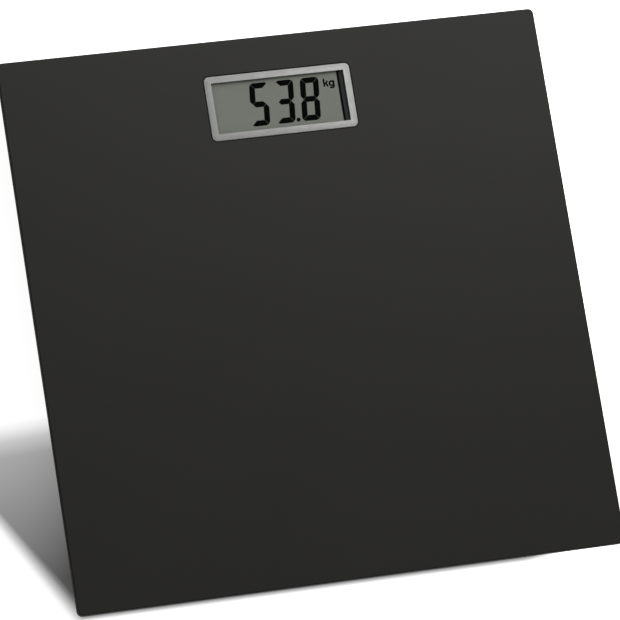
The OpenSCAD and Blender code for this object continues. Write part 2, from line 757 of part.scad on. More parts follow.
// The shell under the display: screw bosses, battery bay, button collar and floor ribs
module housing_cover() {
    inner_r = housing_r - housing_wall;
    inner_w = housing_w - 2 * housing_wall;
    inner_l = housing_l - 2 * housing_wall;
    color([0.14, 0.14, 0.145]) difference() {
        union() {
            at_housing() difference() {
                translate([0, 0, floor_z0])
                    bevelled_slab(housing_w, housing_l, rim_z1 - floor_z0, housing_r, housing_bevel, 0);
                slab(inner_w, inner_l, inner_r, floor_z1, rim_z1 + eps);
            }
            at_housing() at_corners(boss_x, boss_y)
                translate([0, 0, floor_z0 + eps])
                    cylinder(r = cover_boss_r, h = housing_floor + cover_boss_h - eps);
            at_housing() translate([button_x, button_y, floor_z0 + eps])
                cylinder(r = collar_r + collar_wall, h = housing_floor + collar_h - eps);
            at_housing() for (i = [-1:1])
                block([i * rib_pitch, -inner_l / 2 - eps, floor_z1 - eps],
                      [i * rib_pitch + rib_t, inner_l / 2 + eps, floor_z1 + rib_h]);
            at_bay()
                block([-bay_half_w, -door_y1 - door_gap - bay_wall, floor_z0 + eps],
                      [bay_half_w, door_y1 + well_l + bay_wall, bay_z1]);
        }
        at_housing() at_corners(boss_x, boss_y) screw_cut();
        at_housing() translate([button_x, button_y, 0]) {
            translate([0, 0, floor_z0 - eps])
                cylinder(r = button_r + button_gap, h = housing_floor + 2 * eps);
            translate([0, 0, floor_z1]) cylinder(r = collar_r, h = collar_h + eps);
        }
        at_bay() bay_cut();
        for (sx = [-1, 1]) on_side(sx) lead_notches(sx);
    }
    at_bay() for (sx = [-1, 1]) on_side(sx) door_catch();
}

// A hole and a recess for a screw from below
module screw_cut() {
    translate([0, 0, floor_z0 - eps]) cylinder(r = head_r + head_room, h = head_depth + eps);
    translate([0, 0, floor_z0])
        cylinder(r = screw_r + head_room, h = housing_floor + cover_boss_h + eps);
}

// The hollow of the battery bay: door recess, hinge seat, cell pocket, latch well and slots
module bay_cut() {
    deck_z = floor_z0 + door_t + door_over;
    door_half = door_w / 2 + door_gap;
    block([-door_half, hinge_y, floor_z0 - eps], [door_half, door_y1 + door_gap, deck_z]);
    block([-door_half, -door_y1 - door_gap, floor_z0 - eps], [door_half, hinge_y, hinge_z]);
    translate([0, hinge_y, hinge_z]) rotate([0, 90, 0]) translate([0, 0, -door_half])
        cylinder(r = barrel_r + door_gap, h = 2 * door_half);
    translate([0, hinge_y, hinge_z]) rotate([0, 90, 0])
        translate([0, 0, -door_half - pin_l - 2 * pin_gap])
            cylinder(r = pin_r + pin_gap, h = 2 * (door_half + pin_l + 2 * pin_gap));
    translate([0, 0, floor_z0]) cylinder(r = pocket_r, h = bay_z0 - floor_z0);
    translate([0, thumb_in - pocket_r, floor_z0])
        cylinder(r = thumb_r, h = coin_z0 + thumb_d - floor_z0);
    // latch well, and the room the plus contact springs in
    block([-latch_w / 2 - well_gap, door_y1 - latch_l - latch_room, floor_z0 - eps],
          [latch_w / 2 + well_gap, door_y1 + well_l, floor_z0 + latch_h + latch_room]);
    block([0, -leaf_w / 2 - tail_gap, floor_z0],
          [plus_x + leaf_t + tail_gap, leaf_w / 2 + tail_gap, bay_z0]);
    for (x = [plus_x, minus_x]) tail_slot(x, bay_z0 - eps, bay_z1 + eps);
}

// A ledge in the latch well that the latch's tooth stands behind
module door_catch() {
    catch_y = door_y1 + latch_tooth + tooth_gap;
    x1 = latch_w / 2 + well_gap;
    block([x1 - catch_w, catch_y, floor_z0 + catch_z],
          [x1, door_y1 + well_l, floor_z0 + catch_z + catch_h]);
}

// Notches in the rim of the cover where the leads come in
module lead_notches(sx) {
    z0 = lead_z - lead_r - cover_room;
    side_x = housing_w / 2 + sx * display_x;
    heel_end_y = housing_y - housing_l / 2;
    block([side_x - housing_wall - eps, foot_x - notch_w / 2, z0],
          [side_x + eps, foot_x + notch_w / 2, rim_z1 + eps]);
    block([lead_x - notch_w / 2, heel_end_y - eps, z0],
          [lead_x + notch_w / 2, heel_end_y + housing_wall + eps, rim_z1 + eps]);
}

// Pan-head screws, driven from below
module screw(r, l, r_head, h_head) {
    difference() {
        union() {
            cylinder(r = r, h = l);
            translate([0, 0, -h_head]) cylinder(r = r_head, h = h_head);
        }
        for (a = [0, 90]) rotate([0, 0, a])
            block([-cross_l / 2, -cross_w / 2, -h_head - eps],
                  [cross_l / 2, cross_w / 2, cross_d - h_head]);
    }
}

module housing_screws() {
    color([0.7, 0.7, 0.72]) at_housing() at_corners(boss_x, boss_y)
        translate([0, 0, floor_z0 + head_depth]) screw(screw_r, screw_l, head_r, head_h);
}

module board_screws() {
    color([0.7, 0.7, 0.72]) at_housing() at_corners(post_x, post_y)
        translate([0, 0, board_z0])
            screw(board_screw_r, board_t + board_screw_in, board_head_r, board_head_h);
}

// A frame of double-sided tape round the bezel's flange
module housing_tape() {
    color([0.85, 0.85, 0.83]) difference() {
        at_housing() slab(base_w - 2 * tape_edge, base_l - 2 * tape_edge, base_r - tape_edge,
                          tape_z0, under_h);
        at_display() slab(bezel_w + 2 * (bezel_flange + tape_edge),
                          bezel_h + 2 * (bezel_flange + tape_edge),
                          bezel_r + bezel_flange, tape_z0 - eps, under_h + eps);
    }
}

// ---- Sensors ----

module bracket_tapes() {
    color([0.85, 0.85, 0.83]) for (sx = [-1, 1], sy = [-1, 1]) at_foot(sx, sy)
        translate([0, 0, tape_z0]) cylinder(r = bracket_r, h = tape_t);
}

// A cup that is glued to the glass, open below, with a lip that keeps the foot in
module sensor_bracket(sx, sy) {
    roof_z0 = tape_z0 - bracket_roof;
    color([0.13, 0.13, 0.135]) at_foot(sx, sy) {
        difference() {
            union() {
                rotate_extrude() polygon([
                    [lip_r, bracket_z0], [bracket_r - bracket_bevel, bracket_z0],
                    [bracket_r, bracket_z0 + bracket_bevel], [bracket_r, tape_z0 - bracket_flange_t],
                    [bracket_r + bracket_flange, tape_z0 - bracket_flange_t],
                    [bracket_r + bracket_flange, tape_z0], [0, tape_z0], [0, roof_z0],
                    [bracket_in, roof_z0], [bracket_in, lip_z1], [lip_r, lip_z1]]);
                for (a = [30:60:330]) rotate([0, 0, a]) bracket_gusset();
            }
            block([-bracket_r - bracket_flange - eps, -notch_w / 2, lead_z - lead_r - cover_room],
                  [1 - bracket_in, notch_w / 2, roof_z0]);
        }
        for (s = [-1, 1]) {
            block([-seat_l / 2, min(s * seat_y0, s * seat_y1), cell_z1],
                  [seat_l / 2, max(s * seat_y0, s * seat_y1), roof_z0 + eps]);
            rotate([0, 0, 90 * s]) cell_clip(roof_z0);
        }
        cell_stop(cell_side / 2 + clip_gap, -stop_w / 2, stop_w / 2, roof_z0);
        for (s = [0, 1]) mirror([0, s, 0])
            cell_stop(-cell_side / 2 - clip_gap - clip_t, stop_gap, stop_w / 2, roof_z0);
    }
}

module bracket_gusset() {
    inner = bracket_r - gusset_in;
    outer = bracket_r + bracket_flange;
    top = tape_z0 - bracket_flange_t;
    along_y(gusset_t) polygon([
        [inner, top - gusset_h], [bracket_r, top - gusset_h], [outer, top],
        [outer, top + eps], [inner, top + eps]]);
}

// A finger from the roof that grips the edge of the load cell from below
module cell_clip(roof_z0) {
    x0 = cell_side / 2 + clip_gap;
    along_y(clip_w) polygon([
        [x0, roof_z0 + eps], [x0, cell_z0], [x0 - clip_gap - clip_bite, cell_z0],
        [x0, cell_z0 - clip_h], [x0 + clip_t, cell_z0 - clip_h], [x0 + clip_t, roof_z0 + eps]]);
}

// A short wall from the roof beside the load cell
module cell_stop(x, y0, y1, roof_z0) {
    block([x, y0, cell_z1 - stop_overlap], [x + clip_t, y1, roof_z0 + eps]);
}

// A square of spring steel, slit so that its tongue bends when the foot pushes it
module load_cell(sx, sy) {
    color([0.72, 0.73, 0.74]) at_foot(sx, sy) translate([0, 0, cell_z0]) linear_extrude(cell_t)
        difference() {
            rounded_rect(cell_side, cell_side, cell_r);
            difference() {
                translate([slit_x0, -tongue_w / 2 - slit_w])
                    square([slit_x1 - slit_x0, tongue_w + 2 * slit_w]);
                translate([slit_x0 - 1, -tongue_w / 2])
                    square([slit_x1 - slit_w - slit_x0 + 1, tongue_w]);
            }
            for (s = [-1, 1]) translate([slit_x0, s * tongue_w / 2]) circle(neck_hole_r);
        }
}

// A drop of white sealant over the strain gauge, on the neck of the tongue
module strain_gauge(sx, sy) {
    color([0.92, 0.92, 0.9]) at_foot(sx, sy) translate([gauge_x, 0, 0])
        slab(gauge[0], gauge[1], gauge_r, cell_z1, cell_z1 + gauge[2]);
}

// A cup with a boss that meets the load cell and three hooks that hang on the bracket's lip
module foot(sx, sy) {
    color([0.15, 0.15, 0.155]) at_foot(sx, sy) {
        difference() {
            union() {
                rotate_extrude() polygon([
                    [0, pad_t], [foot_r - pad_rim, pad_t], [foot_r - pad_rim, pad_proud],
                    [foot_r - foot_bevel, pad_proud], [foot_r, pad_proud + foot_bevel],
                    [foot_r, foot_z1], [neck_r, foot_z1], [neck_r, hook_z0], [hook_r, hook_z0],
                    [hook_r - hook_lead, hook_z1], [neck_in, hook_z1], [neck_in, web_z1], [0, web_z1]]);
                translate([0, 0, web_z1 - eps]) cylinder(r = boss_foot_r, h = cell_z0 - web_z1 + eps);
                for (a = [0:60:300]) rotate([0, 0, a])
                    block([boss_foot_r - 1, -foot_rib_t / 2, web_z1 - eps],
                          [neck_in + 0.5, foot_rib_t / 2, web_z1 + foot_rib_h]);
            }
            for (a = [60, 180, 300]) {
                rotate([0, 0, a + hook_angle / 2 + break_in]) hook_break();
                for (s = [-1, 1]) rotate([0, 0, a + s * hook_angle / 2])
                    block([neck_in - 1, min(0, s * hook_slit), foot_z1 + slit_foot],
                          [hook_r + 1, max(0, s * hook_slit), hook_z1 + eps]);
            }
        }
    }
}

// What is cut from the ring of hooks between one hook and the next
module hook_break() {
    rotate_extrude(angle = 120 - hook_angle - 2 * break_in) translate([neck_in - 1, hook_z0])
        square([hook_r + 2 - neck_in, hook_t + eps]);
}

// A rubber disc with a bevelled edge and ring-shaped grooves
module foot_pad(sx, sy) {
    grooves = [for (i = [1:2]) i * pad_r / 3];
    color([0.08, 0.08, 0.08]) at_foot(sx, sy) rotate_extrude() polygon(concat(
        [[0, 0]],
        [for (r = grooves) each [[r, 0], [r, groove_d], [r + groove_w, groove_d], [r + groove_w, 0]]],
        [[pad_r - pad_bevel, 0], [pad_r, pad_bevel], [pad_r, pad_t], [0, pad_t]]));
}

// ---- Leads ----

function front_lead_end(sx) = ears_w / 2 + sx * display_x - lead_end;
heel_lead_end = housing_y - board_l / 2 + lead_end;

// Lead k of the three that run straight from a sensor at the display end to the board
module front_lead(sx, k) {
    translate([front_lead_end(sx), foot_x + k * lead_pitch, lead_z]) rotate([0, 90, 0])
        cylinder(r = lead_r, h = foot_x + lead_x0 - front_lead_end(sx));
}

// Lead k of the three that turn a bend on their way from the heel end to the board
module heel_lead(k) {
    translate([heel_x, k * lead_pitch - foot_x, lead_z]) rotate([0, 90, 0])
        cylinder(r = lead_r, h = foot_x + lead_x0 - heel_x);
    translate([heel_x, heel_y, lead_z]) rotate([0, 0, 180]) rotate_extrude(angle = 90)
        translate([lead_bend - k * lead_pitch, 0]) circle(lead_r);
    translate([lead_x + k * lead_pitch, heel_y, lead_z]) rotate([-90, 0, 0])
        cylinder(r = lead_r, h = heel_lead_end - heel_y);
}

// The leads of one colour, one from each sensor
module sensor_leads(k, shade) {
    color(shade) for (sx = [-1, 1]) on_side(sx) {
        front_lead(sx, k);
        heel_lead(k);
    }
}

// Section of a lead cover: a channel with a wing on each side that is glued to the glass
module lead_cover_section() {
    out = cover_in + cover_wall;
    wing = out + cover_wing;
    roof = cover_z0 + cover_t;
    wing_z = under_h - cover_t;
    polygon([
        [-wing, under_h], [-cover_in, under_h], [-cover_in, roof], [cover_in, roof],
        [cover_in, under_h], [wing, under_h], [wing, wing_z], [out, wing_z],
        [out, cover_z0 + cover_bevel], [out - cover_bevel, cover_z0],
        [cover_bevel - out, cover_z0], [-out, cover_z0 + cover_bevel],
        [-out, wing_z], [-wing, wing_z]]);
}

module lead_cover_front(sx) {
    x0 = housing_w / 2 + sx * display_x + cover_gap;
    color([0.14, 0.14, 0.145]) on_side(sx) translate([(x0 + cover_x1) / 2, foot_x, 0])
        along_x(cover_x1 - x0) lead_cover_section();
}

module lead_cover_heel(sx) {
    y1 = housing_y - housing_l / 2 - cover_gap;
    color([0.14, 0.14, 0.145]) on_side(sx) {
        translate([(heel_x + cover_x1) / 2, -foot_x, 0])
            along_x(cover_x1 - heel_x) lead_cover_section();
        translate([heel_x, heel_y, 0]) rotate([0, 0, 180]) rotate_extrude(angle = 90)
            translate([lead_bend, 0]) lead_cover_section();
        translate([lead_x, (heel_y + y1) / 2, 0]) along_y(y1 - heel_y) lead_cover_section();
    }
}

glass_platform();
display_bezel();
display_lens();
lcd_front_polarizer();
lcd_front_glass();
lcd_rear_glass();
lcd_reflector();
lcd_holder();
zebra_connector();
circuit_board();
potted_chip();
chip_resistors();
chip_capacitors();
solder_joints();
unit_switch();
switch_plunger();
unit_button();
battery_contact_plus();
battery_contact_minus();
coin_cell();
battery_door();
housing_base();
housing_cover();
housing_screws();
board_screws();
housing_tape();
bracket_tapes();
sensor_bracket(-1, 1);  // sensor_bracket_front_left
sensor_bracket(1, 1);  // sensor_bracket_front_right
sensor_bracket(-1, -1);  // sensor_bracket_heel_left
sensor_bracket(1, -1);  // sensor_bracket_heel_right
load_cell(-1, 1);  // load_cell_front_left
load_cell(1, 1);  // load_cell_front_right
load_cell(-1, -1);  // load_cell_heel_left
load_cell(1, -1);  // load_cell_heel_right
strain_gauge(-1, 1);  // strain_gauge_front_left
strain_gauge(1, 1);  // strain_gauge_front_right
strain_gauge(-1, -1);  // strain_gauge_heel_left
strain_gauge(1, -1);  // strain_gauge_heel_right
foot(-1, 1);  // foot_front_left
foot(1, 1);  // foot_front_right
foot(-1, -1);  // foot_heel_left
foot(1, -1);  // foot_heel_right
foot_pad(-1, 1);  // foot_pad_front_left
foot_pad(1, 1);  // foot_pad_front_right
foot_pad(-1, -1);  // foot_pad_heel_left
foot_pad(1, -1);  // foot_pad_heel_right
sensor_leads(-1, "firebrick");  // sensor_leads_red
sensor_leads(0, "whitesmoke");  // sensor_leads_white
sensor_leads(1, [0.1, 0.1, 0.1]);  // sensor_leads_black
lead_cover_front(-1);  // lead_cover_front_left
lead_cover_front(1);  // lead_cover_front_right
lead_cover_heel(-1);  // lead_cover_heel_left
lead_cover_heel(1);  // lead_cover_heel_right
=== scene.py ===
"""Looks of a glass bathroom scale, built around its CAD frame.

Everything is in metres in the frame's own axes: +Z up, +Y to the display end, and the origin on the
floor under the middle of the glass.
"""

import json
import math

import bpy
from mathutils import Matrix, Vector


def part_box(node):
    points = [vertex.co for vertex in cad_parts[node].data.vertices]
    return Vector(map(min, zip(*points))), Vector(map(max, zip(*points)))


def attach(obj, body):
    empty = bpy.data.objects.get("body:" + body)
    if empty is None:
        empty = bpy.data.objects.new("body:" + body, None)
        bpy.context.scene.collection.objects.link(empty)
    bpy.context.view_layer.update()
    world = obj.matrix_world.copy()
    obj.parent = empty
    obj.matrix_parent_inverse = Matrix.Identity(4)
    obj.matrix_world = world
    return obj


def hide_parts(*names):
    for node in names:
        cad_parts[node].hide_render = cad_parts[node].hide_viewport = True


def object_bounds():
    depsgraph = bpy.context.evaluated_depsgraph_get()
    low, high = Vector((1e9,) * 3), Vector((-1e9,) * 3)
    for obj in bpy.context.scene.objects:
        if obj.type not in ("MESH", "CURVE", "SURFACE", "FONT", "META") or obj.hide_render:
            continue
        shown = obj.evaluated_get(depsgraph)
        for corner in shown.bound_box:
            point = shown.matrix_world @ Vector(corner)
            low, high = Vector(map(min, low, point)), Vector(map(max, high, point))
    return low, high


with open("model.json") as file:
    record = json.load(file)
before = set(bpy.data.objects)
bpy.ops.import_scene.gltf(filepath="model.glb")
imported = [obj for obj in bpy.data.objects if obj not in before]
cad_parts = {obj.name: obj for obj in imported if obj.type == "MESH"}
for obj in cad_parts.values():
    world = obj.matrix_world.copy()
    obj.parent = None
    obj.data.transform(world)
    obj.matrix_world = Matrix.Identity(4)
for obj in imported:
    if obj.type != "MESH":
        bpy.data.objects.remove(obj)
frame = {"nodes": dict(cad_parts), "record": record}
cad_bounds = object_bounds()

MM = 0.001
scene = bpy.context.scene

# ---- Camera ----

CAMERA_AT = (-0.4789, -0.3907, 2.0867)
CAMERA_LOOKS = (0.2215, 0.1798, -0.9584)
CAMERA_UP = (0.1159, 0.9710, 0.2090)
LENS_MM = 233.4
SENSOR_MM = 36.0

# ---- Light ----

WORLD_LIGHT = 0.45
KEY_AT = (0.44, 0.84, 0.90)
KEY_SIZE = 1.4
KEY_WATTS = 12.5
LOW_AT = (2.23, 0.0, 0.90)
LOW_SIZE = 0.5
LOW_WATTS = 600.0
BELOW_DEPTH = 0.9
BELOW_SIZE = 3.2
BELOW_WATTS = 14.0
# A narrow spot for the bezel alone, which brightens it towards its right end
SPOT_AT = (0.30, 0.35, 1.0)
SPOT_AIM = (0.092, 0.132, 0.022)
SPOT_CONE = math.radians(13.8)
SPOT_SIZE = 0.1
SPOT_WATTS = 16.0
FLOOR_COLOR = 0.33
FLOOR_RADIUS = 1.2
FLOOR_FADE = (0.35, 1.0)
# Shares of the object's half width between which the floor under it turns from dark to glowing
FLOOR_COVER = (0.6, 0.97)
# Where the floor glows white, so that only a wedge of the shadow shows. Each glow has a direction,
# a span along it, and its strength at shares of that span.
FLOOR_GLOWS = (
    {  # beyond the wedge, to the display end
        "towards": (-0.04, 1.0, 0.0),
        "span": (-0.12, -0.033),
        "strengths": ((0.0, 0.0), (0.5, 0.16), (0.78, 0.26), (0.88, 0.46), (0.95, 0.75), (1.0, 0.9)),
    },
    {  # beyond the wedge, to the left and the heel end
        "towards": (-0.857, -0.515, 0.0),
        "span": (0.1965, 0.2065),
        "strengths": ((0.0, 0.0), (0.22, 0.12), (0.54, 0.45), (0.84, 0.8), (1.0, 0.9)),
    },
    {  # past the heel edge of the glass
        "towards": (0.0, -1.0, 0.0),
        "span": (0.1475, 0.151),
        "strengths": ((0.0, 0.0), (1.0, 0.8)),
    },
)

# ---- Sizes of what is added or drawn anew ----

CORNER_STEPS = 10
GLASS_CORNER = 3.0 * MM
GLASS_ARRIS = 0.6 * MM
CUTOUT_ARRIS = 0.2 * MM
CUTOUT_GAP = 0.4 * MM
BEZEL_FLANGE = 2.0 * MM
BEZEL_CORNER = 2.8 * MM
BEZEL_FRAME = 3.85 * MM
BEZEL_WALL = 1.6 * MM
BEZEL_LIP = 0.8 * MM
BEZEL_ROUND = 0.3 * MM
BEZEL_CROWN = 0.04 * MM
BEZEL_SLOPE = 0.12 * MM
WINDOW_CORNER = 0.25 * MM
WINDOW_ROUND = 0.15 * MM

DIGIT_W = 10.45 * MM
DIGIT_H = 24.05 * MM
DIGIT_T = 3.12 * MM
DIGIT_ROUND = 2.5 * MM
DIGIT_GAP = 0.07 * MM
DIGIT_PITCH = 14.15 * MM
DIGIT_SLANT = math.tan(math.radians(5.1))
DIGITS_X = 10.37 * MM
DIGITS_Y = 0.3 * MM
POINT_HALF = 1.05 * MM
POINT_CORNER = 0.75 * MM
POINT_BACK = 2.1 * MM
POINT_RISE = 1.2 * MM
UNIT_AT = (25.6 * MM, 6.2 * MM)
UNIT_STROKE = 0.95 * MM
INK = 0.03 * MM

WHITE = (1.0, 1.0, 1.0, 1.0)


# ---- Nodes ----


class Nodes:
    """Adds shader nodes to a tree and links them."""

    def __init__(self, tree):
        self.tree = tree

    def feed(self, socket, value):
        """Links a socket to another node's output, or gives it a plain value."""
        if isinstance(value, bpy.types.NodeSocket):
            self.tree.links.new(value, socket)
        else:
            socket.default_value = value

    def node(self, kind, inputs=None, **settings):
        """A new node, with its settings made and its sockets fed by name or number."""
        node = self.tree.nodes.new("ShaderNode" + kind)
        for key, value in settings.items():
            setattr(node, key, value)
        for socket, value in (inputs or {}).items():
            self.feed(node.inputs[socket], value)
        return node

    def calc(self, operation, first, second):
        """The result of one sum on two numbers."""
        return self.node("Math", {0: first, 1: second}, operation=operation).outputs[0]

    def span(self, value, low, high, start=0.3, stop=0.7, **settings):
        """A number that goes from low to high while value goes from start to stop."""
        inputs = {"Value": value, "From Min": start, "From Max": stop, "To Min": low, "To Max": high}
        return self.node("MapRange", inputs, **settings).outputs["Result"]

    def seen_ray(self):
        """1 for rays that show a background: those of the camera and of gloss and clear surfaces."""
        path = self.node("LightPath")
        seen = path.outputs["Is Camera Ray"]
        for name in ("Is Glossy Ray", "Is Transmission Ray"):
            seen = self.calc("MAXIMUM", seen, path.outputs[name])
        return seen


# ---- Materials ----


class Look(Nodes):
    """A material with one Principled shader. Its textures are laid in the object's own metres.

    color and roughness are the surface's plain values, which a texture may replace with a range.
    """

    def __init__(self, name, color, roughness, sockets=None):
        self.material = bpy.data.materials.new(name)
        self.material.use_nodes = True
        super().__init__(self.material.node_tree)
        self.shader = self.tree.nodes["Principled BSDF"]
        self.set("Base Color", (*color, 1.0))
        self.set("Roughness", roughness)
        for socket, value in (sockets or {}).items():
            self.set(socket, value)

    def set(self, socket, value):
        """Feeds a socket of the shader."""
        self.feed(self.shader.inputs[socket], value)

    def place(self, stretch=(1.0, 1.0, 1.0)):
        """Places on the object in metres, scaled by stretch along X, Y and Z."""
        coords = self.node("TexCoord").outputs["Object"]
        return self.node("Mapping", {"Vector": coords, "Scale": stretch}).outputs["Vector"]

    def noise(self, size, detail=2.0, stretch=(1.0, 1.0, 1.0)):
        """Noise from 0 to 1 whose blotches are about size across."""
        inputs = {"Vector": self.place(stretch), "Scale": 1.0 / size, "Detail": detail}
        return self.node("TexNoise", inputs).outputs["Fac"]

    def cells(self, size, feature="F1"):
        """Distance to the nearest of points that lie about size apart."""
        inputs = {"Vector": self.place(), "Scale": 1.0 / size}
        return self.node("TexVoronoi", inputs, feature=feature).outputs["Distance"]

    def blend(self, factor, first, second):
        """A colour between two."""
        inputs = {0: factor, 6: (*first, 1.0), 7: (*second, 1.0)}
        return self.node("Mix", inputs, data_type="RGBA").outputs[2]

    def up(self):
        """1 on faces that look straight up, 0 on upright ones and -1 below."""
        normal = self.node("NewGeometry").outputs["Normal"]
        return self.node("SeparateXYZ", {"Vector": normal}).outputs["Z"]

    def relief(self, height, depth, round_edges=None):
        """Bumps of that depth, over edges that catch the light as if they were rounded."""
        inputs = {"Height": height, "Distance": depth}
        if round_edges:
            bevel = self.node("Bevel", {"Radius": round_edges}, samples=4)
            inputs["Normal"] = bevel.outputs["Normal"]
        self.set("Normal", self.node("Bump", inputs).outputs["Normal"])


def shade_of(color, factor):
    """A colour made lighter or darker."""
    return tuple(c * factor for c in color)


def black_glass():
    """Tempered glass, painted black behind: a satin face with faint smudges."""
    look = Look("black_glass", (0.0096, 0.0093, 0.0079), 0.34, {"Specular IOR Level": 0.15})
    cloud = look.noise(60 * MM, 2.0)
    smudge = look.span(look.noise(45 * MM, 4.0), 0.325, 0.355)
    grain = look.span(look.noise(0.5 * MM, 1.0), -0.02, 0.02)
    look.set("Roughness", look.calc("ADD", smudge, grain))
    look.set("Base Color", look.blend(cloud, (0.0090, 0.0087, 0.0074), (0.0102, 0.0098, 0.0084)))
    look.relief(look.noise(0.35 * MM, 2.0), 0.0008 * MM)
    return look.material


def ground_edge():
    """The edge of the glass, ground matt, with the fine lines of the wheel running along it."""
    look = Look("ground_edge", (0.0034, 0.0034, 0.0032), 0.75, {"Specular IOR Level": 0.03})
    lines = look.noise(0.25 * MM, 3.0, (0.03, 0.03, 1.0))
    look.set("Base Color", look.blend(lines, (0.0026, 0.0026, 0.0024), (0.0042, 0.0042, 0.0039)))
    look.set("Roughness", look.span(lines, 0.68, 0.82))
    look.relief(lines, 0.004 * MM)
    return look.material


def silver_paint():
    """Satin silver paint with fine flakes."""
    look = Look("silver_paint", (0.152, 0.152, 0.149), 0.4, {"Metallic": 0.4, "Specular IOR Level": 0.3})
    flake = look.span(look.cells(0.09 * MM), 0.0, 1.0, 0.2, 0.6)
    look.set("Base Color", look.blend(flake, (0.140, 0.140, 0.138), (0.163, 0.163, 0.160)))
    look.set("Roughness", look.span(look.noise(3 * MM, 3.0), 0.35, 0.42))
    look.relief(look.noise(0.12 * MM, 2.0), 0.002 * MM)
    return look.material


def clear_lens():
    """A clear window: a mirror on its upper face, only as dense as its reflection."""
    most, steepness = 0.3, 5.0
    look = Look("clear_lens", (1.0, 1.0, 1.0), 0.05, {"Metallic": 1.0})
    look.set("Roughness", look.span(look.noise(6 * MM, 3.0), 0.03, 0.08))
    facing = look.node("LayerWeight", {"Blend": 0.5}).outputs["Facing"]
    glare = look.calc("POWER", facing, steepness)
    upper_face = look.span(look.up(), 0.0, most, 0.5, 0.9)
    look.set("Alpha", look.calc("MULTIPLY", glare, upper_face))
    return look.material


def display_film():
    """The grey-green face of the display, with a finely brushed sheen."""
    look = Look("display_film", (0.136, 0.147, 0.121), 0.42, {"Specular IOR Level": 0.3})
    cloud = look.noise(9 * MM, 3.0)
    look.set("Base Color", look.blend(cloud, (0.130, 0.142, 0.114), (0.142, 0.151, 0.127)))
    look.set("Roughness", look.span(look.noise(0.25 * MM, 1.0, (6.0, 1.0, 1.0)), 0.38, 0.48))
    return look.material


def segment_ink():
    """Liquid crystal that is switched on."""
    look = Look("segment_ink", (0.0012, 0.0012, 0.0012), 0.4, {"Specular IOR Level": 0.01})
    look.set("Roughness", look.span(look.noise(0.4 * MM), 0.36, 0.46))
    return look.material


def thin_glass():
    """The two glasses of the display."""
    look = Look("thin_glass", (0.5, 0.55, 0.51), 0.05, {"Alpha": 0.35})
    look.set("Roughness", look.span(look.noise(4 * MM, 3.0), 0.03, 0.09))
    return look.material


def reflector_film():
    """A brushed foil behind the display."""
    look = Look("reflector_film", (0.62, 0.63, 0.60), 0.35, {"Metallic": 0.9})
    brushed = look.noise(0.3 * MM, 3.0, (0.02, 1.0, 1.0))
    look.set("Roughness", look.span(brushed, 0.28, 0.45))
    look.relief(brushed, 0.004 * MM)
    return look.material


def moulded(name, color, roughness=0.5, depth=0.025 * MM, gloss=0.45):
    """Moulded plastic with a spark-eroded texture and faint flow marks."""
    look = Look(name, color, roughness, {"Specular IOR Level": gloss})
    flow = look.noise(14 * MM, 3.0)
    pits = look.noise(0.4 * MM, 3.0)
    shade = look.span(look.calc("ADD", flow, pits), 0.0, 1.0, 0.7, 1.3)
    look.set("Base Color", look.blend(shade, shade_of(color, 0.72), shade_of(color, 1.3)))
    look.set("Roughness", look.span(flow, roughness - 0.05, roughness + 0.06))
    look.relief(pits, depth, 0.15 * MM)
    return look.material


def rubber(name, color, roughness=0.8):
    """Soft rubber with a fine grain, dulled where it has picked up dust."""
    look = Look(name, color, roughness, {"Specular IOR Level": 0.3})
    dust = look.noise(5 * MM, 5.0)
    pale = tuple(c * 1.5 + 0.004 for c in color)
    look.set("Base Color", look.blend(look.span(dust, 0.0, 1.0, 0.45, 0.75), color, pale))
    look.set("Roughness", look.span(dust, roughness - 0.08, roughness + 0.05))
    look.relief(look.noise(0.16 * MM, 4.0), 0.02 * MM, 0.2 * MM)
    return look.material


def sheet_steel(name, color, roughness, stretch=(0.03, 1.0, 1.0)):
    """Plated sheet metal, finely brushed."""
    look = Look(name, color, roughness, {"Metallic": 1.0})
    brushed = look.noise(0.15 * MM, 3.0, stretch)
    look.set("Roughness", look.span(brushed, roughness - 0.08, roughness + 0.1))
    look.relief(brushed, 0.003 * MM, 0.1 * MM)
    return look.material


def screw_steel():
    """Zinc-plated screw, with marks of turning."""
    look = Look("screw_steel", (0.35, 0.35, 0.37), 0.35, {"Metallic": 1.0})
    marks = look.noise(0.2 * MM, 4.0)
    look.set("Base Color", look.blend(marks, (0.30, 0.30, 0.32), (0.40, 0.40, 0.40)))
    look.set("Roughness", look.span(marks, 0.26, 0.46))
    look.relief(marks, 0.004 * MM, 0.12 * MM)
    return look.material


def solder_mask():
    """Green solder mask, paler over the copper tracks."""
    look = Look("solder_mask", (0.012, 0.09, 0.035), 0.3, {"Coat Weight": 0.3, "Coat Roughness": 0.15})
    tracks = look.cells(3.2 * MM, "DISTANCE_TO_EDGE")
    edge = look.span(tracks, 1.0, 0.0, 0.06, 0.10)
    look.set("Base Color", look.blend(edge, (0.008, 0.07, 0.028), (0.022, 0.14, 0.05)))
    look.relief(edge, 0.02 * MM)
    return look.material


def resin():
    """The black drop of resin over the chip."""
    look = Look("resin", (0.008, 0.008, 0.008), 0.22)
    look.set("Roughness", look.span(look.noise(1.5 * MM, 3.0), 0.16, 0.32))
    look.relief(look.noise(1.2 * MM, 2.0), 0.03 * MM)
    return look.material


def chip_body(name, color, speck):
    """The fired body of a chip component, with paler specks."""
    look = Look(name, color, 0.4)
    speckle = look.noise(0.2 * MM, 2.0)
    look.set("Base Color", look.blend(look.span(speckle, 0.0, 1.0, 0.5, 0.6), color, speck))
    look.set("Roughness", look.span(speckle, 0.3, 0.5))
    look.relief(speckle, 0.005 * MM, 0.06 * MM)
    return look.material


